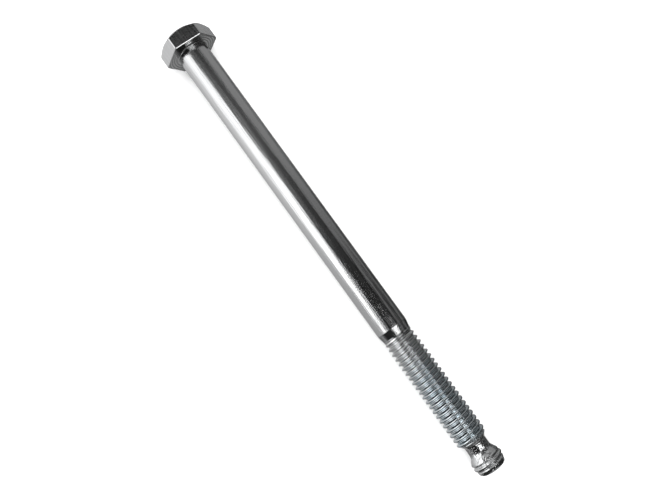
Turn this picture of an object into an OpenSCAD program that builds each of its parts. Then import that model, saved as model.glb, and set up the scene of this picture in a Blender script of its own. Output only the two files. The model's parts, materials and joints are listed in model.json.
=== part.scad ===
// Engine mount bolt: a long hex-head bolt, forged and rolled from one piece of bar, with a short
// threaded end, a turned neck near the tip and a threaded collar that leads the bolt into its nut.
// It lies at rest on one flat of its head and on the collar. +X runs along the bolt to its tip,
// and the origin is the middle of the bearing face under the head. All sizes are in millimetres.

/* [Head] */
// Width of the hexagon across two opposite flats
across_flats = 15; // [13:0.1:18]
// Height of the head above its bearing face
head_height = 5.8; // [4.5:0.1:8]
// Diameter of the flat disc that the top chamfer leaves on the head
head_top_d = 11.6; // [10:0.1:13]
// Slope of the top chamfer against the top face, in degrees
head_chamfer = 34; // [20:1:38]
// Radius of the fillet between the bearing face and the shank
head_fillet = 0.5; // [0.2:0.05:0.9]

/* [Shank] */
// Diameter of the plain shank
shank_d = 9.5; // [9.4:0.05:10.5]
// Length of the plain shank from the bearing face
shank_length = 100.5; // [40:0.1:150]
// Length of the cone that steps the shank down to the rolling blank
cone_length = 2.1; // [1.6:0.1:4]
// Length of bare blank between the cone and the thread
blank_length = 0.7; // [0.4:0.1:3]

/* [Thread] */
// Outside diameter over the crests
thread_d = 9.29; // [9.1:0.01:9.65]
// Advance of the thread in one turn
thread_pitch = 1.5875; // [1.45:0.0001:1.75]
// Diameter of the blank that the thread was rolled on
blank_d = 8.66; // [8.45:0.01:8.85]
// Number of turns from the bare blank to the neck
thread_turns = 21.3; // [6:0.1:26]
// Number of turns over which the thread rises out of the blank
run_out_turns = 1.6; // [1:0.1:4]

/* [Neck] */
// Diameter at the bottom of the neck
neck_d = 6.52; // [5.4:0.01:7]
// Length of the bottom of the neck
neck_length = 2.8; // [1:0.1:5]
// Slope of the neck's wall on the thread side, in degrees
neck_wall = 43; // [30:1:60]
// Slope of the cone from the neck up to the collar, in degrees
neck_lead = 31; // [20:1:45]

/* [Collar] */
// Length of the collar from the top of that cone to the end of the bolt
collar_length = 4; // [3:0.1:6.5]
// Diameter at the roots of the part-formed thread on the collar
collar_root_d = 8.14; // [7.7:0.01:8.4]
// Length of the taper at the end of the collar
tip_taper = 2.4; // [1.2:0.1:2.8]
// Slope of that taper, in degrees
tip_slope = 17; // [8:1:20]
// Radius that rounds the end
tip_round = 0.8; // [0.3:0.1:0.9]

/* [Hidden] */

$fn = 96;

// Segments in one turn of the thread, and in each rounded corner of a profile
turn_segments = 30;
arc_segments = 6;

// Radii
shank_r = shank_d / 2;
crest_r = thread_d / 2;
blank_r = blank_d / 2;
neck_r = neck_d / 2;
collar_root_r = collar_root_d / 2;
head_corner_r = across_flats / sqrt(3);

// A 60 degree thread form with a crest flat of an eighth and a root flat of a quarter of the pitch
root_r = crest_r - thread_pitch * sqrt(3) / 2 * 5 / 8;
// One pitch of the form: [share of the pitch along the axis, share of the height from the root]
thread_form = [[-1 / 16, 1], [1 / 16, 1], [3 / 8, 0], [5 / 8, 0]];
// Turns that the helix begins inside the shank, which sets where its crests come out
hidden_turns = 0.69;

// Places along the axis from the bearing face
cone_end = shank_length + cone_length;
thread_start = cone_end + blank_length;
thread_end = thread_start + thread_turns * thread_pitch;
neck_start = thread_end + (crest_r - neck_r) / tan(neck_wall);
neck_end = neck_start + neck_length;
collar_start = neck_end + (blank_r - neck_r) / tan(neck_lead);
bolt_length = collar_start + collar_length;
taper_start = bolt_length - tip_taper;
helix_start = shank_length - hidden_turns * thread_pitch;

// How far one form reaches past another that it joins, and how far a cut clears the crests
overlap = 0.3;
cut_r = crest_r + 1;

// The bolt lies on one flat, at the bearing face, and on the first whole crest of the collar
// under its axis, so the axis dips towards the tip
rest_turn = ceil((collar_start - helix_start) / thread_pitch + 1 / 4);
rest_crest = helix_start + rest_turn * thread_pitch;
rest_dip = atan((across_flats / 2 - crest_r) / rest_crest);

// Points of an arc about a centre, from one angle to another
function arc(centre, radius, from, to) = [
    for (i = [0 : arc_segments])
        let (angle = from + (to - from) * i / arc_segments)
        centre + radius * [cos(angle), sin(angle)]
];

// 0 up to one place along the axis, 1 beyond another, and a straight climb between them
function climb(low, high, along) = max(0, min(1, (along - low) / (high - low)));

// How far the thread has formed at a place along the axis, from 0, bare blank, to 1
function formed(along) =
    along > neck_end
        ? climb(collar_start, collar_start + thread_pitch / 2, along)
        : climb(thread_start, thread_start + run_out_turns * thread_pitch, along);

// Radius of the thread at a place along the axis, for a point at a share of its height
function thread_radius(along, height_share) =
    let (deepest = along > neck_end ? collar_root_r : root_r)
    let (root = blank_r + formed(along) * (deepest - blank_r))
    let (crest = blank_r + formed(along) * (crest_r - blank_r))
    root + height_share * (crest - root);

// Triangles from each edge of a closed rim to one centre
function fan(rim, centre) = [
    for (i = [0 : len(rim) - 1])
        [rim[i], rim[(i + 1) % len(rim)], centre]
];

// Turns a profile of [radius, place along the axis] points about the bolt's axis
module turned(profile) {
    rotate_extrude()
        polygon(profile);
}

// Hexagon with its top corners turned off by a cone
module head() {
    cone_r = head_corner_r + overlap;
    cone_drop = (cone_r - head_top_d / 2) * tan(head_chamfer);
    intersection() {
        translate([0, 0, -head_height])
            rotate(30)
                cylinder(r = head_corner_r, h = head_height, $fn = 6);
        turned([
            [0, -head_height],
            [head_top_d / 2, -head_height],
            [cone_r, cone_drop - head_height],
            [cone_r, overlap],
            [0, overlap]
        ]);
    }
}

// Plain shank with its fillet under the head and its cone down to the blank
module shank() {
    cone_slope = (shank_r - blank_r) / cone_length;
    turned(concat(
        [[0, -overlap], [shank_r, -overlap]],
        arc([shank_r + head_fillet, head_fillet], head_fillet, 270, 180),
        [
            [shank_r, shank_length],
            [blank_r - overlap * cone_slope, cone_end + overlap],
            [0, cone_end + overlap]
        ]
    ));
}

// Solid rod with the helical thread on it. The rows of points follow the helix, so that its
// crests and roots are unbroken edges, and each end is closed by a fan to the axis.
module threaded_rod() {
    form_size = len(thread_form);
    last_row = ceil((bolt_length + thread_pitch - helix_start) / thread_pitch * turn_segments);
    points = [
        for (row = [0 : last_row])
            for (form = thread_form)
                let (angle = 360 * row / turn_segments)
                let (along = helix_start + thread_pitch * (row / turn_segments + form[0]))
                let (radius = thread_radius(along, form[1]))
                [radius * cos(angle), radius * sin(angle), along]
    ];
    ends = [
        [0, 0, helix_start],
        [0, 0, helix_start + thread_pitch * last_row / turn_segments]
    ];
    // Number of the point at a row and a place in the form, where the place after the last one
    // is the first of the next turn
    function at(row, place) =
        place < form_size ? row * form_size + place : (row + turn_segments) * form_size;
    wall = [
        for (row = [0 : last_row - 1])
            for (place = [0 : form_size - 1])
                if (place < form_size - 1 || row + 1 + turn_segments <= last_row)
                    each [
                        [at(row, place), at(row, place + 1), at(row + 1, place)],
                        [at(row + 1, place), at(row, place + 1), at(row + 1, place + 1)]
                    ]
    ];
    first_rim = concat(
        [for (row = [0 : turn_segments]) at(row, 0)],
        [for (place = [form_size - 1 : -1 : 1]) at(0, place)]
    );
    last_rim = concat(
        [for (row = [last_row : -1 : last_row - turn_segments]) at(row, form_size - 1)],
        [for (place = [0 : form_size - 2]) at(last_row, place)]
    );
    polyhedron(
        points = concat(points, ends),
        faces = concat(wall, fan(first_rim, len(points)), fan(last_rim, len(points) + 1))
    );
}

// What is turned off between the thread and the collar to leave the neck
module neck_groove() {
    turned([
        [cut_r, thread_end - (cut_r - crest_r) / tan(neck_wall)],
        [neck_r, neck_start],
        [neck_r, neck_end],
        [blank_r, collar_start],
        [cut_r, collar_start + (cut_r - blank_r) / tan(neck_lead)]
    ]);
}

// What is turned off at the end to leave the taper and the rounded tip
module tip_trim() {
    taper_end_r = crest_r - (tip_taper - tip_round) * tan(tip_slope);
    trim_end = bolt_length + 2 * thread_pitch;
    turned(concat(
        [[cut_r, taper_start - (cut_r - crest_r) / tan(tip_slope)]],
        arc([taper_end_r - tip_round, bolt_length - tip_round], tip_round, 0, 90),
        [[0, bolt_length], [0, trim_end], [cut_r, trim_end]]
    ));
}

// The whole bolt standing along +Z from its bearing face
module upright_bolt() {
    head();
    shank();
    difference() {
        threaded_rod();
        neck_groove();
        tip_trim();
    }
}

module bolt() {
    color("silver")
        rotate([0, 90 + rest_dip, 0])
            upright_bolt();
}

bolt();
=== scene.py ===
# %% [markdown]
# # A long zinc-plated bolt
#
# The real bolt holds an engine mount. It is forged from one length of drawn wire: the hexagon
# head is upset at one end, the other end is turned down a little, and the thread is rolled
# between two dies. A neck is turned behind the last few threads, so that the collar at the tip
# can find the nut before the main thread bites. Then the whole bolt is plated with zinc.
#
# The model follows the same order: a turned blank, a rolled thread, a plated finish, and a
# small studio around it. The first cell loads the construction model as a fixed frame.

# %% Load the frame
import bpy
import json
import math
from mathutils import Matrix, Vector


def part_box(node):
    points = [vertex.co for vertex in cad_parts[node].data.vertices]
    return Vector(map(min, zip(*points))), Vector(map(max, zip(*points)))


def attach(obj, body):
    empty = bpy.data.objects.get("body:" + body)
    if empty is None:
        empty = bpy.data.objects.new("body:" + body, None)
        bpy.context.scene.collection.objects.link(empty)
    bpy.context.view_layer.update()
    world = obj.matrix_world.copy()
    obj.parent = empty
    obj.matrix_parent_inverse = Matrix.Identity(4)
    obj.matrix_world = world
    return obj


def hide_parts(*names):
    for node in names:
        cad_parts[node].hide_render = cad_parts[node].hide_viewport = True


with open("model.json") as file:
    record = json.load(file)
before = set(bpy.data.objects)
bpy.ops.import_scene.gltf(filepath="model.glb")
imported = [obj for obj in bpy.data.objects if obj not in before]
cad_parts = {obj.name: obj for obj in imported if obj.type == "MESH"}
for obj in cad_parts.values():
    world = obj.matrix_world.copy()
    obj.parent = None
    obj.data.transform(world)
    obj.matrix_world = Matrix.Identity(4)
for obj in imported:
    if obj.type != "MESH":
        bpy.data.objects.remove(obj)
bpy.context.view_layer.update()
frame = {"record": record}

# %% [markdown]
# ## Sizes
#
# The frame's record already knows the radii of the shank and the thread, because another part
# mates with them there, and it knows how the axis dips: the bolt lies on a flat of its wide head
# and on its thinner tip. Those are read from it, and only the sizes that it doesn't hold are
# named here. All of them are millimetres, and the finished mesh goes to metres at the very end.

# %% Sizes of the head and shank
mounts = {}
for mount in frame["record"]["mounts"]:
    mounts[mount["name"]] = mount
shank_r = mounts["shank"]["dims"]["r_mm"]
crest_r = mounts["thread"]["dims"]["r_mm"]
axis = Vector(mounts["bearing_face"]["axis"])
dip = math.atan2(-axis.z, axis.x)

across_flats = 15.0
head_height = 5.8
head_top_r = 5.8
head_chamfer = math.radians(34)
head_fillet = 0.5
shank_length = 100.5
cone_end = 102.6
print("shank", shank_r, "head across flats", across_flats, "dip", math.degrees(dip))

# %% Sizes of the thread, neck and collar
pitch = 1.5875
thread_start = 103.3
blank_r = 4.33
root_r = crest_r - pitch * math.sqrt(3) / 2 * 5 / 8
helix_start = shank_length - 0.69 * pitch

neck_r = 3.26
neck_start = 138.599
neck_end = 141.399
neck_wall_slope = math.tan(math.radians(43))
neck_lead_slope = math.tan(math.radians(31))
collar_start = 143.18
collar_root_r = 4.07
taper_start = 144.78
taper_slope = math.tan(math.radians(17))
bolt_length = 147.18
tip_round = 0.8
print("crest", crest_r, "root", round(root_r, 3), "neck", neck_r, "length", bolt_length)

# %% [markdown]
# ## Camera
#
# A bolt seen from close by narrows towards its far end. The camera stands about a fifth of a
# metre above the end of the plain shank, so it sees the bearing face under the head, and it
# looks at the thread from the head's side. It looks down steeply and is rolled a little, which
# lays the bolt corner to corner across the frame.

# %% Camera
camera_target = Vector((0.07262, -0.00057, -0.0015))
camera_bearing = math.radians(-42.69)
camera_elevation = math.radians(79.005)
camera_distance = 0.1944
camera_roll = math.radians(7.18)

ground = math.cos(camera_elevation)
look_back = Vector((
    ground * math.cos(camera_bearing),
    ground * math.sin(camera_bearing),
    math.sin(camera_elevation),
))
level_right = Vector((0, 0, 1)).cross(look_back).normalized()
level_up = look_back.cross(level_right)
right = level_right * math.cos(camera_roll) + level_up * math.sin(camera_roll)
up = look_back.cross(right)

camera_data = bpy.data.cameras.new("camera")
camera_data.lens = 36.79
camera_data.sensor_width = 36
camera = bpy.data.objects.new("camera", camera_data)
camera.matrix_world = Matrix((
    (right.x, up.x, look_back.x, camera_target.x + camera_distance * look_back.x),
    (right.y, up.y, look_back.y, camera_target.y + camera_distance * look_back.y),
    (right.z, up.z, look_back.z, camera_target.z + camera_distance * look_back.z),
    (0, 0, 0, 1),
))
bpy.context.collection.objects.link(camera)
bpy.context.scene.camera = camera
print("camera stands at", [round(c, 4) for c in camera.matrix_world.translation])

# %% [markdown]
# ## The blank: hexagon outline
#
# A forged head has no knife edges: the die rounds every corner a little, and that rounding is
# what catches the light as a bright line. A Bevel modifier could round a sharp hexagon, but it
# would add points of its own, and the head has to join a round shank column by column. So the
# outline is written out: each of the six sides gets 24 columns, most of them on the flat and
# a few packed into the rounded corners.

# %% Hexagon outline
side_columns = 24
columns = 6 * side_columns
corner_round = 0.6
corner_support = 0.14
side_half_angle = math.radians(30)


def column_angle(column):
    """Angle of a column on a round part, counted from straight down towards +Y."""
    return 2 * math.pi * (column + 0.5) / columns


def side_points():
    """One side of the hexagon as (along the side, out from the axis) pairs."""
    apothem = across_flats / 2
    half = apothem * math.tan(side_half_angle)
    arc_end = half - corner_round * math.tan(side_half_angle)
    right_end = [(arc_end - corner_support, apothem)]
    for turn in (0, 12, 24):
        turned_by = math.radians(turn)
        along = arc_end + corner_round * math.sin(turned_by)
        out = apothem - corner_round * (1 - math.cos(turned_by))
        right_end.append((along, out))
    left_end = [(-along, out) for along, out in reversed(right_end)]
    inner = side_columns - len(left_end) - len(right_end)
    span = arc_end - corner_support
    middle = []
    for step in range(1, inner + 1):
        middle.append((span * (2 * step / (inner + 1) - 1), apothem))
    return left_end + middle + right_end


def hexagon_outline():
    """(angle, radius) of every column on the rounded hexagon."""
    outline = []
    points = side_points()
    for column in range(columns):
        side = (column + side_columns // 2) // side_columns
        along, out = points[(column + side_columns // 2) % side_columns]
        angle = side * math.pi / 3 + math.atan2(along, out)
        outline.append((angle, math.hypot(along, out)))
    return outline


outline = hexagon_outline()
print("hexagon columns", len(outline), "corner radius", round(max(r for a, r in outline), 3))

# %% [markdown]
# ## The blank: profile of the head and shank
#
# Seen from the side, the head is a nearly flat top, a cone turned off its corners, an upright
# side and a flat bearing face with a small fillet into the shank. Each column gets that profile
# as a line of corners, and every corner is rounded with an arc. One extra point just outside
# each arc holds the shading flat, so smooth shading doesn't smear over the wide faces.

# %% Rounded profile
profile_support = 0.05
degrees_in_step = 15


def rounded(corners):
    """Round a line of (x, r, radius, blend) corners. Blend is 0 on the circle, 1 on the hexagon."""
    line = []
    for index, (x, r, radius, blend) in enumerate(corners):
        here = Vector((x, r))
        if radius == 0:
            line.append((x, r, blend))
            continue
        before = (Vector(corners[index - 1][:2]) - here).normalized()
        after = (Vector(corners[index + 1][:2]) - here).normalized()
        opening = before.angle(after)
        reach = radius / math.tan(opening / 2)
        centre = here + (before + after).normalized() * radius / math.sin(opening / 2)
        start = here + before * reach - centre
        end = here + after * reach - centre
        steps = max(2, round(math.degrees(math.pi - opening) / degrees_in_step))
        support = here + before * (reach + profile_support)
        line.append((support.x, support.y, blend))
        for step in range(steps + 1):
            share = step / steps
            spoke = (start * (1 - share) + end * share).normalized() * radius
            line.append((centre.x + spoke.x, centre.y + spoke.y, blend))
        support = here + after * (reach + profile_support)
        line.append((support.x, support.y, blend))
    return line


trial = rounded([(0, 1, 0, 0), (1, 1, 0.2, 0), (1, 2, 0, 0)])
print("points in one rounded square corner", len(trial) - 2)

# %% [markdown]
# The edge around the bearing face is broken by a small slope, which draws a thin bright line
# beside the dark flats. The fillet has half of the construction solid's radius, because the
# corner under the real head looks tighter. The shank gets plain rings along its length, and the
# cone meets both of its neighbours in wide, soft corners.

# %% Profile of one column
top_hollow = 0.03
top_round = 0.3
chamfer_round = 0.16
edge_length = 0.24
edge_depth = 0.1
edge_round = 0.05
fillet_round = head_fillet / 2
fillet_support = 0.1
cone_round = 0.8
shank_rings = 30
bare_end = thread_start - 0.4


def blank_profile(column):
    """Profile of one column from the middle of the head's top to the start of the thread."""
    angle, hexagon_r = outline[column]
    edge_x = (hexagon_r - head_top_r) * math.tan(head_chamfer) - head_height
    fillet_r = shank_r + fillet_round
    corners = [
        (-head_height + top_hollow, head_top_r * 0.3, 0, 0),
        (-head_height + top_hollow * 2 / 3, head_top_r * 0.6, 0, 0),
        (-head_height, head_top_r * 0.85, 0, 0),
        (-head_height, head_top_r, top_round, 0),
        (edge_x, hexagon_r, chamfer_round, 1),
        (edge_x / 2, hexagon_r, 0, 1),
        (-edge_length, hexagon_r, edge_round, 1),
        (0, hexagon_r - edge_depth, edge_round, 1),
        (0, (hexagon_r + fillet_r) / 2, 0, 0.6),
        (0, fillet_r + fillet_support, 0, 0),
        (0, shank_r, fillet_round, 0),
    ]
    for step in range(1, shank_rings):
        corners.append((shank_length * step / shank_rings, shank_r, 0, 0))
    corners += [
        (shank_length, shank_r, cone_round, 0),
        (cone_end, blank_r, cone_round, 0),
        (bare_end, blank_r, 0, 0),
    ]
    return angle, rounded(corners)


print("points from the head's middle to the thread", len(blank_profile(0)[1]))

# %% [markdown]
# ## The blank: net of points
#
# A thread is hard on a mesh. If its crests cut across the rows of points, every crest is
# ragged. So on the threaded lengths the rows climb with the helix, one pitch in each turn, and
# each crest, flank and root runs along its own row. At the ends of those lengths the climbing
# rows are cut off by plain rings, where a face may have three or five corners. The neck and
# the rounded tip keep plain rings, because a lathe makes them and not the dies.

# %% Rows and rings
rows_in_pitch = 16
row_step = pitch / rows_in_pitch


def climbing_rows(column, low, high):
    """(row number, x) of the helical rows that cross a column between two rings."""
    offset = helix_start + pitch * column_angle(column) / (2 * math.pi)
    margin = row_step / 4
    first = math.ceil((low + margin - offset) / row_step)
    last = math.floor((high - margin - offset) / row_step)
    return [(row, offset + row * row_step) for row in range(first, last + 1)]


def rings(low, high, spacing):
    """Places of evenly spaced rings from one place along the axis to another."""
    count = math.ceil((high - low) / spacing)
    return [low + (high - low) * step / count for step in range(count + 1)]


neck_rings = rings(neck_start - 0.35, collar_start - 0.05, 0.12)
tip_steps = 8
tip_rings = []
for step in range(tip_steps + 1):
    turned_by = math.radians(90 * step / tip_steps)
    tip_rings.append(bolt_length - tip_round + tip_round * math.sin(turned_by))
face_shares = [0.96, 0.75, 0.5, 0.25]
print("rings on the neck", len(neck_rings), "and on the tip", len(tip_rings) + len(face_shares))

# %% Net of points
points = [(-head_height + top_hollow, 0, 0), (bolt_length, 0, 0)]
strings = []


def add(string, label, x, r, angle):
    """Put one point into the net, and its label and number into its column."""
    string.append((label, len(points)))
    points.append((x, r * math.sin(angle), -r * math.cos(angle)))


for column in range(columns):
    string = [("head middle", 0)]
    round_angle = column_angle(column)
    hexagon_angle, profile = blank_profile(column)
    for number, (x, r, blend) in enumerate(profile):
        angle = round_angle + (hexagon_angle - round_angle) * blend
        add(string, ("blank", number), x, r, angle)
    for row, x in climbing_rows(column, bare_end, neck_rings[0]):
        add(string, ("thread", row), x, blank_r, round_angle)
    for number, x in enumerate(neck_rings):
        add(string, ("neck", number), x, blank_r, round_angle)
    for row, x in climbing_rows(column, neck_rings[-1], tip_rings[0]):
        add(string, ("collar", row), x, blank_r, round_angle)
    for number, x in enumerate(tip_rings):
        add(string, ("tip", number), x, blank_r, round_angle)
    for number, share in enumerate(face_shares):
        add(string, ("face", number), bolt_length, blank_r * share, round_angle)
    string.append(("tip middle", 1))
    strings.append(string)
print("points in the net", len(points))

# %% [markdown]
# Neighbouring columns are sewn together like a zip. Where both have a point with the same
# label, a new face closes, and whatever lies between two such pairs becomes an extra corner.
# After a full turn the helix has climbed one pitch, so the last column meets the first one
# a pitch of rows later.

# %% Sew the net
faces = []
for column in range(columns):
    left = strings[column]
    right_string = strings[(column + 1) % columns]
    last = column == columns - 1
    places = {}
    for place, (label, point) in enumerate(right_string):
        if last and label[0] in ("thread", "collar"):
            label = (label[0], label[1] - rows_in_pitch)
        places[label] = place
    start = (0, 0)
    for left_place, (label, point) in enumerate(left):
        if left_place == 0 or label not in places:
            continue
        right_place = places[label]
        loop = [left[start[0]][1]]
        loop += [right_string[place][1] for place in range(start[1], right_place + 1)]
        loop += [left[place][1] for place in range(left_place, start[0], -1)]
        start = (left_place, right_place)
        corners = []
        for point in loop:
            if point not in corners:
                corners.append(point)
        faces.append(corners)

blank_mesh = bpy.data.meshes.new("turned_blank")
blank_mesh.from_pydata(points, [], faces)
blank_mesh.validate()
print("faces in the blank", len(blank_mesh.polygons))

# %% [markdown]
# ## Zinc plate
#
# Bright zinc plate is a few thousandths of a millimetre thick, so it shows everything under
# it: the lines that drawing left along the shank, the rings that the tool left under the head
# and the torn metal of the neck. The clear passivation on top gives the thread a faint blue.
# All of it is one metal, so it is one material with patterns in Object coordinates. The same
# few nodes are needed again and again, so they come first as small helpers, and they take the
# node tree as an argument because the rolling tree and the world use them too.

# %% Node helpers
def feed(links, socket, value):
    """Link a socket to another one, or give it a constant."""
    if isinstance(value, bpy.types.NodeSocket):
        links.new(value, socket)
    else:
        socket.default_value = value


def math_node(tree, operation, first, second=0.0, third=0.0, clamp=False):
    """One Math node, and the socket that its result comes out of."""
    node = tree.nodes.new("ShaderNodeMath")
    node.operation = operation
    node.use_clamp = clamp
    feed(tree.links, node.inputs[0], first)
    feed(tree.links, node.inputs[1], second)
    feed(tree.links, node.inputs[2], third)
    return node.outputs[0]


def ramp(tree, value, low, high):
    """0 below one value, 1 above another, and smooth between them."""
    node = tree.nodes.new("ShaderNodeMapRange")
    node.interpolation_type = "SMOOTHSTEP"
    feed(tree.links, node.inputs["Value"], value)
    feed(tree.links, node.inputs["From Min"], low)
    feed(tree.links, node.inputs["From Max"], high)
    return node.outputs["Result"]


plate = bpy.data.materials.new("bright_zinc_plate")
plate.use_nodes = True
tree = plate.node_tree
shader = tree.nodes["Principled BSDF"]


def noise(vector, scale, detail, roughness):
    """Noise in the plate, with a given number of features for each millimetre."""
    node = tree.nodes.new("ShaderNodeTexNoise")
    feed(tree.links, node.inputs["Vector"], vector)
    node.inputs["Scale"].default_value = scale
    node.inputs["Detail"].default_value = detail
    node.inputs["Roughness"].default_value = roughness
    return node.outputs["Fac"]


def plate_math(operation, first, second=0.0, third=0.0):
    """One Math node in the plate."""
    return math_node(tree, operation, first, second, third)


print("material", plate.name, "with", len(tree.nodes), "nodes to start with")

# %% [markdown]
# The patterns need two things: where along the bolt a point is, and how far from its axis. So
# the Object coordinates are first turned by the dip, which lays X along the bolt's own axis,
# and counted in millimetres. Squeezing X to a twentieth draws any noise out into long lines.

# %% Places on the bolt
coordinates = tree.nodes.new("ShaderNodeTexCoord")
along_bolt = tree.nodes.new("ShaderNodeMapping")
along_bolt.vector_type = "POINT"
along_bolt.inputs["Rotation"].default_value = (0, -dip, 0)
along_bolt.inputs["Scale"].default_value = (1000, 1000, 1000)
tree.links.new(coordinates.outputs["Object"], along_bolt.inputs["Vector"])
bolt_space = along_bolt.outputs["Vector"]

stretched = tree.nodes.new("ShaderNodeMapping")
stretched.inputs["Scale"].default_value = (0.05, 1, 1)
tree.links.new(bolt_space, stretched.inputs["Vector"])
line_space = stretched.outputs["Vector"]

split = tree.nodes.new("ShaderNodeSeparateXYZ")
tree.links.new(bolt_space, split.inputs["Vector"])
place_x = split.outputs["X"]
square_y = plate_math("MULTIPLY", split.outputs["Y"], split.outputs["Y"])
square_z = plate_math("MULTIPLY", split.outputs["Z"], split.outputs["Z"])
distance = plate_math("SQRT", plate_math("ADD", square_y, square_z))
print("nodes that find a place on the bolt", len(tree.nodes))

# %% Patterns
draw_lines = noise(line_space, 2.4, 3.0, 0.6)
broad_lines = noise(line_space, 0.9, 2.0, 0.5)
speckle = noise(bolt_space, 2.5, 3.0, 0.6)
tears = noise(bolt_space, 1.1, 1.0, 0.5)
clouds = noise(bolt_space, 0.35, 2.0, 0.5)

on_thread = ramp(tree, place_x, 102.0, 103.8)
blued = ramp(tree, place_x, 104.0, 120.0)
past_thread = ramp(tree, place_x, 137.0, 138.4)
before_thread_end = plate_math("SUBTRACT", 1.0, past_thread)

off_shank = plate_math("LESS_THAN", place_x, 0.02)
behind_face = plate_math("GREATER_THAN", place_x, -0.06)
under_head = plate_math("MULTIPLY", off_shank, behind_face)
off_face = plate_math("SUBTRACT", 1.0, under_head)
rings_in_mm = 8.2
ring_wave = plate_math("SINE", plate_math("MULTIPLY", distance, rings_in_mm))
rings_here = plate_math("MULTIPLY", ring_wave, under_head)
print("one ring under the head every", round(2 * math.pi / rings_in_mm, 2), "mm")

# %% [markdown]
# Zinc is a light grey metal, and its base colour is what it reflects straight back. The drawn
# shank is a little streaky, the rolled thread is cleaner and lighter, and blue comes in clouds
# along the thread. The bearing face under the head is darkened with painted shade, and its
# turned rings get painted shade darker than their relief alone would make them. Each step is
# one Mix node on top of the last.

# %% Plate colour
drawn_dark = (0.67, 0.672, 0.676, 1)
drawn_light = (0.765, 0.766, 0.768, 1)
rolled = (0.78, 0.787, 0.79, 1)
passivated = (0.68, 0.76, 0.80, 1)
# painted shade: the dark colour laid on the bearing face under the head and in its turned rings
painted_shade_under_head = (0.30, 0.31, 0.30, 1)


def colour_mix(share, first, second):
    """A colour that goes from the first to the second as the share goes from 0 to 1."""
    node = tree.nodes.new("ShaderNodeMix")
    node.data_type = "RGBA"
    feed(tree.links, node.inputs["Factor"], share)
    feed(tree.links, node.inputs["A"], first)
    feed(tree.links, node.inputs["B"], second)
    return node.outputs["Result"]


blue_share = plate_math("MULTIPLY", blued, plate_math("MULTIPLY", clouds, 1.2))
blue_share = plate_math("MULTIPLY", blue_share, before_thread_end)
# share of painted shade on the bearing face, deeper and lighter ring by ring
painted_shade_share = plate_math("MULTIPLY_ADD", rings_here, 0.2, plate_math("MULTIPLY", under_head, 0.3))
painted_shade_share = plate_math("MAXIMUM", painted_shade_share, 0.0)

colour = colour_mix(draw_lines, drawn_dark, drawn_light)
colour = colour_mix(on_thread, colour, rolled)
colour = colour_mix(blue_share, colour, passivated)
# the bearing face under the head and its rings take the painted shade
colour = colour_mix(painted_shade_share, colour, painted_shade_under_head)
tree.links.new(colour, shader.inputs["Base Color"])
shader.inputs["Metallic"].default_value = 1.0
tree.links.new(plate_math("MULTIPLY_ADD", speckle, 0.08, 0.03), shader.inputs["Roughness"])
print("the shank reflects", drawn_dark[0], "to", drawn_light[0], "and the thread", rolled[0])

# %% [markdown]
# Relief this fine would need millions of points as a mesh, so it is a bump. A Bump node counts
# its height in units of Distance, and Distance is a thousandth of a metre here, so the depths
# below are millimetres. The draw lines stop at the bearing face, which was never drawn.

# %% Plate relief
line_depth = 0.05
broad_depth = 0.10
ring_depth = 0.011
tear_depth = 0.20
speckle_depth = 0.025
speckle_more_past_thread = 0.02
speckle_less_on_thread = -0.015

height = plate_math("MULTIPLY", draw_lines, line_depth)
height = plate_math("MULTIPLY_ADD", broad_lines, broad_depth, height)
height = plate_math("MULTIPLY", height, off_face)
height = plate_math("MULTIPLY_ADD", rings_here, ring_depth, height)
torn = plate_math("MULTIPLY", past_thread, tears)
height = plate_math("MULTIPLY_ADD", torn, tear_depth, height)
grain = plate_math("MULTIPLY_ADD", past_thread, speckle_more_past_thread, speckle_depth)
grain = plate_math("MULTIPLY_ADD", on_thread, speckle_less_on_thread, grain)
height = plate_math("MULTIPLY_ADD", speckle, grain, height)

relief = tree.nodes.new("ShaderNodeBump")
relief.inputs["Strength"].default_value = 1.0
relief.inputs["Distance"].default_value = 0.001
tree.links.new(height, relief.inputs["Height"])
tree.links.new(relief.outputs["Normal"], shader.inputs["Normal"])
print("nodes in the plate", len(tree.nodes))

# %% [markdown]
# ## Rolling the thread
#
# The dies press a helix of valleys into the blank, and the metal that they push aside rises
# into the crests. A Geometry Nodes tree does the same: for every point it works out how far
# along the helix it is, and moves it in or out to the radius that the thread has there. The
# rule could be written in a script, but in a tree the pitch, the diameters and the run-out
# stay as named inputs that can be changed after the blank is made.

# %% Rolling tree
rolling = bpy.data.node_groups.new("roll_thread", "GeometryNodeTree")
rolling.interface.new_socket("Geometry", in_out="INPUT", socket_type="NodeSocketGeometry")
rolling.interface.new_socket("Geometry", in_out="OUTPUT", socket_type="NodeSocketGeometry")
thread_sizes = {
    "Pitch": pitch,
    "Helix Start": helix_start,
    "Crest Radius": crest_r,
    "Blank Radius": blank_r,
    "Root Radius": root_r + 0.06,
    "Thread Start": thread_start - 0.35,
    "Run Out Turns": 0.9,
    "Filling Turns": 3.5,
    "Closing Turns": 16.0,
    "Neck Radius": neck_r,
    "Neck Start": neck_start,
    "Neck End": neck_end,
    "Neck Wall Slope": neck_wall_slope,
    "Neck Lead Slope": neck_lead_slope,
    "Collar Start": collar_start,
    "Collar Root Radius": collar_root_r,
    "Taper Start": taper_start,
    "Taper Slope": taper_slope,
    "Bolt Length": bolt_length,
    "Tip Round": tip_round,
    "Ripple": 0.012,
    "Tool Marks": 0.11,
    "Seed": 7.0,
}
for name, size in thread_sizes.items():
    socket = rolling.interface.new_socket(name, in_out="INPUT", socket_type="NodeSocketFloat")
    socket.default_value = size
inputs = rolling.nodes.new("NodeGroupInput").outputs
result = rolling.nodes.new("NodeGroupOutput")
print("named inputs of the rolling tree", len(thread_sizes))

# %% [markdown]
# Two helpers keep the tree readable: a Math node whose arguments may be the names of inputs,
# and a mix of two numbers. The turns are counted from straight down, where the helix starts.

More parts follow.
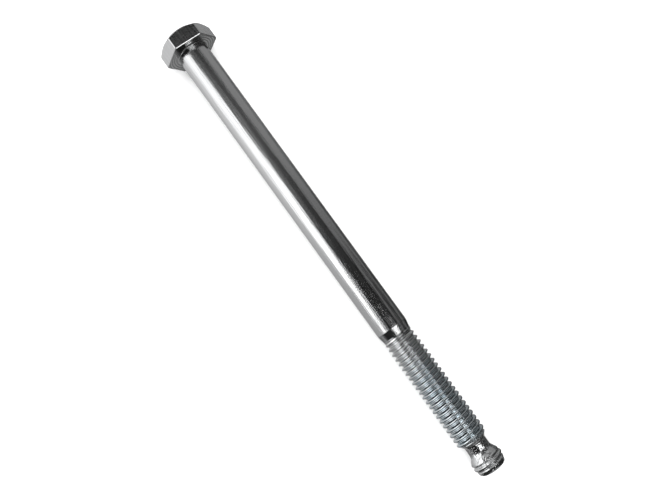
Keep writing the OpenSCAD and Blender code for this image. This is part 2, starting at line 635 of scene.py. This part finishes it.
# %% Helpers and turns
def calc(operation, first, second=0.0, third=0.0, clamp=False):
    """One Math node in the rolling tree. A name stands for the input of that name."""
    values = []
    for value in (first, second, third):
        values.append(inputs[value] if isinstance(value, str) else value)
    return math_node(rolling, operation, *values, clamp=clamp)


def mix(factor, first, second):
    """Blend of two numbers in the rolling tree."""
    node = rolling.nodes.new("ShaderNodeMix")
    rolling.links.new(factor, node.inputs[0])
    for socket, value in ((node.inputs[2], first), (node.inputs[3], second)):
        feed(rolling.links, socket, inputs[value] if isinstance(value, str) else value)
    return node.outputs[0]


position = rolling.nodes.new("GeometryNodeInputPosition").outputs["Position"]
parts = rolling.nodes.new("ShaderNodeSeparateXYZ")
rolling.links.new(position, parts.inputs["Vector"])
x = parts.outputs["X"]
down = calc("MULTIPLY", parts.outputs["Z"], -1.0)
turns = calc("DIVIDE", calc("ARCTAN2", parts.outputs["Y"], down), 2 * math.pi)
print("nodes that count the turns", len(rolling.nodes))

# %% [markdown]
# The phase is 0 on a crest and runs to half a pitch on either side, where the root is. The 60
# degree form has a crest an eighth of a pitch wide and a root a quarter wide at first, and the
# roots close up slowly over sixteen turns. Smooth minimum and maximum round its corners as
# worn dies do. Valleys reach their depth within one turn, but the crests only fill after three
# and a half, which is why the first threads of a rolled bolt look thinner.

# %% Thread form
root_edge_start = 3 / 8
root_closing = 0.08
flank_start = 5 / 16
flank_growing = 0.02
crest_softness = 0.4
root_softness = 0.35

phase = calc("SUBTRACT", calc("DIVIDE", calc("SUBTRACT", x, "Helix Start"), "Pitch"), turns)
off_crest = calc("ABSOLUTE", calc("WRAP", phase, 0.5, -0.5))
from_start = calc("DIVIDE", calc("SUBTRACT", x, "Thread Start"), "Pitch")
closed = calc("DIVIDE", from_start, "Closing Turns", clamp=True)
root_edge = calc("MULTIPLY_ADD", closed, root_closing, root_edge_start)
flank_width = calc("MULTIPLY_ADD", closed, flank_growing, flank_start)
flank = calc("DIVIDE", calc("SUBTRACT", root_edge, off_crest), flank_width)
lift = calc("SMOOTH_MAX", calc("SMOOTH_MIN", flank, 1.0, crest_softness), 0.0, root_softness)

valley_formed = calc("DIVIDE", from_start, "Run Out Turns", clamp=True)
crest_filled = calc("DIVIDE", from_start, "Filling Turns", clamp=True)
half_valley = calc("MULTIPLY", valley_formed, 0.5)
crest_formed = calc("ADD", half_valley, calc("MULTIPLY", crest_filled, 0.5))
half_pitch = calc("MULTIPLY", "Pitch", 0.5)
collar_formed = calc("DIVIDE", calc("SUBTRACT", x, "Collar Start"), half_pitch, clamp=True)

on_collar = calc("GREATER_THAN", x, "Neck End")
deepest = mix(on_collar, "Root Radius", "Collar Root Radius")
root = mix(mix(on_collar, valley_formed, collar_formed), "Blank Radius", deepest)
crest = mix(mix(on_collar, crest_formed, collar_formed), "Blank Radius", "Crest Radius")
threaded = mix(lift, root, crest)
print("nodes up to the thread form", len(rolling.nodes))

# %% [markdown]
# The lathe comes after the dies. The neck is the largest of three lines: the wall on the
# thread's side, the bottom, and the cone that leads up to the collar. The tip is a taper with
# a rounded end. Whichever of thread, neck and tip is smallest at a point is what is left, and
# smooth minimum and maximum leave small fillets between them.

# %% Neck and tip
neck_softness = 0.5
neck_edge_softness = 0.12
tip_edge_softness = 0.08

wall = calc("MULTIPLY_ADD", calc("SUBTRACT", "Neck Start", x), "Neck Wall Slope", "Neck Radius")
lead = calc("MULTIPLY_ADD", calc("SUBTRACT", x, "Neck End"), "Neck Lead Slope", "Neck Radius")
groove = calc("SMOOTH_MAX", wall, "Neck Radius", neck_softness)
groove = calc("SMOOTH_MAX", groove, lead, neck_softness)

into_taper = calc("SUBTRACT", x, "Taper Start")
taper = calc("SUBTRACT", "Crest Radius", calc("MULTIPLY", into_taper, "Taper Slope"))
round_start = calc("SUBTRACT", "Bolt Length", "Tip Round")
into_round = calc("MAXIMUM", calc("SUBTRACT", x, round_start), 0.0)
taper_span = calc("SUBTRACT", round_start, "Taper Start")
taper_drop = calc("MULTIPLY_ADD", taper_span, "Taper Slope", "Tip Round")
face_edge = calc("SUBTRACT", "Crest Radius", taper_drop)
round_square = calc("MULTIPLY", "Tip Round", "Tip Round")
round_rest = calc("SUBTRACT", round_square, calc("MULTIPLY", into_round, into_round))
round_r = calc("ADD", face_edge, calc("SQRT", calc("MAXIMUM", round_rest, 0.0)))
tip = mix(calc("GREATER_THAN", x, round_start), taper, round_r)

turned_r = calc("SMOOTH_MIN", threaded, groove, neck_edge_softness)
turned_r = calc("SMOOTH_MIN", turned_r, tip, tip_edge_softness)
print("nodes up to the neck and the tip", len(rolling.nodes))

# %% [markdown]
# Rolling leaves small ripples on the flanks, a hundredth of a millimetre deep. The neck and
# the collar are rougher, up to a tenth, because the tool tears the hardened metal there. Two
# layers of seeded noise add both, and fade out where the blank is still bare.

# %% Ripples and tool marks
def rolling_noise(scale, detail):
    """Seeded noise at the points of the blank, from -0.5 to 0.5."""
    node = rolling.nodes.new("ShaderNodeTexNoise")
    node.noise_dimensions = "4D"
    node.inputs["Scale"].default_value = scale
    node.inputs["Detail"].default_value = detail
    rolling.links.new(inputs["Seed"], node.inputs["W"])
    rolling.links.new(position, node.inputs["Vector"])
    return calc("SUBTRACT", node.outputs["Fac"], 0.5)


past_dies = calc("GREATER_THAN", x, calc("SUBTRACT", "Neck Start", 0.9))
depth = mix(past_dies, "Ripple", "Tool Marks")
on_face = calc("GREATER_THAN", x, round_start)
fade = calc("MULTIPLY", valley_formed, calc("SUBTRACT", 1.0, on_face))
layers = calc("ADD", rolling_noise(1.4, 3.0), rolling_noise(0.5, 1.0))
marks = calc("MULTIPLY", layers, depth)
final_r = calc("MULTIPLY_ADD", marks, fade, turned_r)
growth = calc("DIVIDE", final_r, "Blank Radius")
print("nodes up to the tool marks", len(rolling.nodes))

# %% [markdown]
# The blank's outer points lie at the blank's radius there, so the new radius over the old one
# is how much a point's distance from the axis grows. Only the points past the cone are moved.
# The result is shaded smooth, made real and given the plate.

# %% Press and plate
moved = rolling.nodes.new("ShaderNodeCombineXYZ")
rolling.links.new(x, moved.inputs["X"])
rolling.links.new(calc("MULTIPLY", parts.outputs["Y"], growth), moved.inputs["Y"])
rolling.links.new(calc("MULTIPLY", parts.outputs["Z"], growth), moved.inputs["Z"])
past_cone = calc("GREATER_THAN", x, calc("SUBTRACT", "Thread Start", 0.3))

press = rolling.nodes.new("GeometryNodeSetPosition")
rolling.links.new(inputs["Geometry"], press.inputs["Geometry"])
rolling.links.new(moved.outputs["Vector"], press.inputs["Position"])
rolling.links.new(past_cone, press.inputs["Selection"])
smooth = rolling.nodes.new("GeometryNodeSetShadeSmooth")
rolling.links.new(press.outputs["Geometry"], smooth.inputs["Geometry"])
realize = rolling.nodes.new("GeometryNodeRealizeInstances")
rolling.links.new(smooth.outputs["Geometry"], realize.inputs["Geometry"])
plated = rolling.nodes.new("GeometryNodeSetMaterial")
plated.inputs["Material"].default_value = plate
rolling.links.new(realize.outputs["Geometry"], plated.inputs["Geometry"])
rolling.links.new(plated.outputs["Geometry"], result.inputs["Geometry"])
print("nodes in the rolling tree", len(rolling.nodes))

# %% [markdown]
# ## From blank to bolt
#
# The tree is run once and its result is kept as a plain mesh. Then the bolt is laid down: it is
# turned about Y by the dip of its axis and brought from millimetres to metres, in the mesh
# itself, so that its object stays at the origin.

# %% Roll, bake and lay down
blank = bpy.data.objects.new("turned_blank", blank_mesh)
bpy.context.collection.objects.link(blank)
modifier = blank.modifiers.new("roll_thread", "NODES")
modifier.node_group = rolling
for item in rolling.interface.items_tree:
    if item.in_out == "INPUT" and item.name in thread_sizes:
        modifier[item.identifier] = thread_sizes[item.name]
evaluated = blank.evaluated_get(bpy.context.evaluated_depsgraph_get())
bolt_mesh = bpy.data.meshes.new_from_object(evaluated)
blank.modifiers.remove(modifier)
bpy.data.objects.remove(blank)

bolt_mesh.name = "plated_bolt"
bolt_mesh.transform(Matrix.Rotation(dip, 4, "Y") @ Matrix.Scale(0.001, 4))
bolt = bpy.data.objects.new("plated_bolt", bolt_mesh)
bpy.context.collection.objects.link(bolt)
triangles = sum(len(face.vertices) - 2 for face in bolt_mesh.polygons)
print("triangles in the bolt", triangles)

# %% [markdown]
# ## Studio
#
# Metal shows what is around it, so the studio matters as much as the plate. The bolt lies on
# a pale floor, under a large soft lamp that lights only the floor. What the plate mirrors is
# painted on the world instead, because a painted wall can be as soft and as narrow as needed.

# %% Floor
low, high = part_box("bolt")
floor_z = low[2]
half_floor = 4.0
floor_mesh = bpy.data.meshes.new("studio_floor")
floor_mesh.from_pydata(
    [
        (-half_floor, -half_floor, floor_z),
        (half_floor, -half_floor, floor_z),
        (half_floor, half_floor, floor_z),
        (-half_floor, half_floor, floor_z),
    ],
    [],
    [(0, 1, 2, 3)],
)
floor = bpy.data.objects.new("studio_floor", floor_mesh)
bpy.context.collection.objects.link(floor)
floor.visible_glossy = False
pale = bpy.data.materials.new("pale_floor")
pale.use_nodes = True
pale_shader = pale.node_tree.nodes["Principled BSDF"]
pale_shader.inputs["Base Color"].default_value = (0.9, 0.9, 0.9, 1)
pale_shader.inputs["Roughness"].default_value = 0.9
pale_shader.inputs["Specular IOR Level"].default_value = 0.0
floor_mesh.materials.append(pale)
print("construction solid from", [round(c, 5) for c in low], "to", [round(c, 5) for c in high])

# %% Soft light on the floor
lamp_data = bpy.data.lights.new("floor_softbox", "AREA")
lamp_data.shape = "SQUARE"
lamp_data.size = 2.4
lamp_data.energy = 55
lamp = bpy.data.objects.new("floor_softbox", lamp_data)
lamp.location = (0.065, -0.35, 1.3)
lamp.rotation_euler = (math.radians(-15), 0, 0)
lamp.visible_glossy = False
lamp.visible_camera = False
bpy.context.collection.objects.link(lamp)
print("lamp of", lamp_data.size, "m at a height of", lamp.location.z, "m")

# %% [markdown]
# ## Walls of light
#
# A long straight bolt mirrors long straight bands, so every wall is a band between two angles
# across the bolt. The angle is counted in degrees from level on the +Y side: 90 is overhead,
# 180 is level on the -Y side, and 270 is straight down. How far a direction leans along the
# bolt, from -1 at the head to 1 at the tip, then makes a band brighter, darker or narrower.
#
# Seen from the camera, the shank mirrors leans from -0.45 to 0.03, the crests of the thread
# from 0.05 to 0.22, the cone about 0.34, and the bearing face 0.44, from the floor. The flanks,
# the neck's slopes and the taper at the tip reach further out, to both ends of the room.

# %% Directions
world = bpy.data.worlds.new("studio_walls")
bpy.context.scene.world = world
world.use_nodes = True
walls = world.node_tree
direction = walls.nodes.new("ShaderNodeTexCoord")
toward = walls.nodes.new("ShaderNodeSeparateXYZ")
walls.links.new(direction.outputs["Generated"], toward.inputs["Vector"])
lean = toward.outputs["X"]
in_radians = math_node(walls, "ARCTAN2", toward.outputs["Z"], toward.outputs["Y"])
across = math_node(walls, "WRAP", math_node(walls, "DEGREES", in_radians), 270, -90)


def times(first, *others):
    """The product of two or more values in the world."""
    for other in others:
        first = math_node(walls, "MULTIPLY", first, other)
    return first


def plus(first, *others):
    """The sum of two or more values in the world."""
    for other in others:
        first = math_node(walls, "ADD", first, other)
    return first


def without(share):
    """What is left of 1 when a share is taken away."""
    return math_node(walls, "SUBTRACT", 1.0, share)


def window(value, low, high, soft):
    """1 between two edges and 0 outside, each edge as soft as wanted."""
    rise_from = math_node(walls, "SUBTRACT", low, soft)
    fall_from = math_node(walls, "SUBTRACT", high, soft)
    rise = ramp(walls, value, rise_from, plus(low, soft))
    fall = ramp(walls, value, fall_from, plus(high, soft))
    return times(rise, without(fall))


def slide(low, high, at_head, at_tip):
    """A value that goes from one number on the head's side to another on the tip's side."""
    return math_node(walls, "MULTIPLY_ADD", ramp(walls, lean, low, high), at_tip - at_head, at_head)


def band(low, high, soft, level):
    """A band of light between two angles across the bolt."""
    return times(window(across, low, high, soft), level)


print("nodes that find a direction", len(walls.nodes))

# %% [markdown]
# The main light is a long softbox on the near side. It runs the whole length of the shank,
# gets narrower towards the thread and ends above it, so the last crests go dark beside bright
# valleys. A small softbox overhead lights the second row of glints on the thread, and it is
# brightest at the lean that the cone mirrors. Two weak bands fill the gap between the softbox
# and the dim side of the room, so that the shank's dark stripe isn't fully black.

# %% Softboxes
box_low = plus(slide(-0.10, 0.03, 119.0, 145.0), slide(-0.42, -0.30, 5.0, 0.0))
box_high = slide(-0.30, -0.08, 173.0, 168.0)
box_soft = slide(-0.42, -0.25, 17.0, 12.0)
box_level = times(slide(-0.32, -0.12, 1.35, 1.8), slide(0.09, 0.16, 1.0, 0.0))
main_box = band(box_low, box_high, box_soft, box_level)

top_level = times(slide(0.12, 0.18, 0.0, 1.9), slide(0.40, 0.46, 1.0, 0.0))
cone_level = times(window(lean, 0.33, 0.40, 0.02), 0.8)
top_box = band(60.0, 100.0, 6.0, plus(top_level, cone_level))
top_glow = band(60.0, 80.0, 5.0, 0.02)
soft_edge = band(84.0, 112.0, 8.0, slide(-0.20, -0.08, 0.13, 0.0))
print("nodes up to the softboxes", len(walls.nodes))

# %% [markdown]
# Behind the softbox the room is pale down to the floor, and the floor itself shines under the
# shank. On the other side the room is dim, with the bars of a window that leave fine dark lines
# near the thread. Both sides are darker at the leans that the thread's crests mirror, and far
# beyond the head.

# %% Pale side of the room
far_end = slide(-0.75, -0.55, 0.5, 1.0)
thread_gap = window(lean, 0.09, 0.20, 0.04)
low_fade = math_node(walls, "MULTIPLY_ADD", ramp(walls, across, 215.0, 250.0), -0.22, 1.0)
thread_fade = math_node(walls, "MULTIPLY_ADD", thread_gap, -0.6, 1.0)
left_level = times(slide(-0.30, 0.30, 0.54, 0.27), times(low_fade, far_end))
left_wall = band(slide(0.15, 0.28, 174.0, 188.0), 300.0, 10.0, times(left_level, thread_fade))
left_glow = band(172.0, 205.0, 12.0, slide(-0.42, -0.05, 0.18, 0.05))
left_glow = times(left_glow, slide(0.08, 0.18, 1.0, 0.0))
floor_glow = band(247.0, 300.0, 10.0, slide(-0.42, 0.0, 0.0, 0.25))
floor_glow = times(floor_glow, slide(0.05, 0.12, 1.0, 0.0))
print("nodes up to the pale side", len(walls.nodes))

# %% Dim side of the room
right_level = times(slide(-0.42, 0.02, 0.19, 0.14), far_end)
right_wall = band(-22.0, slide(-0.42, -0.2, 52.0, 46.0), 7.0, right_level)
bars = plus(window(across, 0.0, 20.0, 5.0), window(across, 40.0, 58.0, 5.0))
bars = times(bars, slide(-0.18, -0.02, 0.0, 0.95))
right_wall = times(right_wall, without(bars), without(thread_gap))
floor_level = times(slide(-0.46, -0.43, 0.24, 0.14), far_end)
right_floor = band(-100.0, slide(-0.46, -0.43, -24.0, -40.0), 8.0, floor_level)
right_floor = times(right_floor, without(thread_gap))
dim = times(slide(-0.42, -0.05, 0.09, 0.01), far_end)
head_end = band(20.0, 116.0, 20.0, slide(-0.68, -0.58, 0.30, 0.0))
print("nodes up to the dim side", len(walls.nodes))

# %% [markdown]
# A black card beyond the head makes the top flat dark. Beyond the tip the room is dark too, with
# a grey floor, which the bearing face mirrors, and a soft light at its very end, which keeps the
# slope between the thread and the neck from going black.

# %% Both ends, and the sum
total = plus(main_box, top_box, top_glow, left_wall, left_glow, floor_glow)
total = plus(total, right_wall, right_floor, dim, soft_edge, head_end)
card = times(window(across, 40.0, 116.0, 6.0), window(lean, -0.58, -0.43, 0.015))
total = times(total, without(card))

far_side = ramp(walls, toward.outputs["Y"], 0.14, 0.09)
tip_floor = math_node(walls, "MULTIPLY_ADD", far_side, 0.16, 0.09)
tip_floor = times(tip_floor, ramp(walls, toward.outputs["Z"], -0.5, -0.8))
tip_glow = math_node(walls, "MULTIPLY_ADD", ramp(walls, lean, 0.80, 0.93), 0.30, 0.02)
tip_wall = times(plus(tip_floor, tip_glow), slide(0.30, 0.40, 0.0, 1.0))
tip_side = ramp(walls, lean, 0.38, 0.50)
total = plus(times(total, without(tip_side)), tip_wall)

background = walls.nodes["Background"]
background.inputs["Color"].default_value = (0.99, 0.995, 1.0, 1)
walls.links.new(total, background.inputs["Strength"])
bpy.context.scene.view_settings.view_transform = "Standard"
print("nodes in the world", len(walls.nodes))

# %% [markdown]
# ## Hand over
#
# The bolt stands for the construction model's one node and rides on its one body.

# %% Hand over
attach(bolt, "root")
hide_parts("bolt")
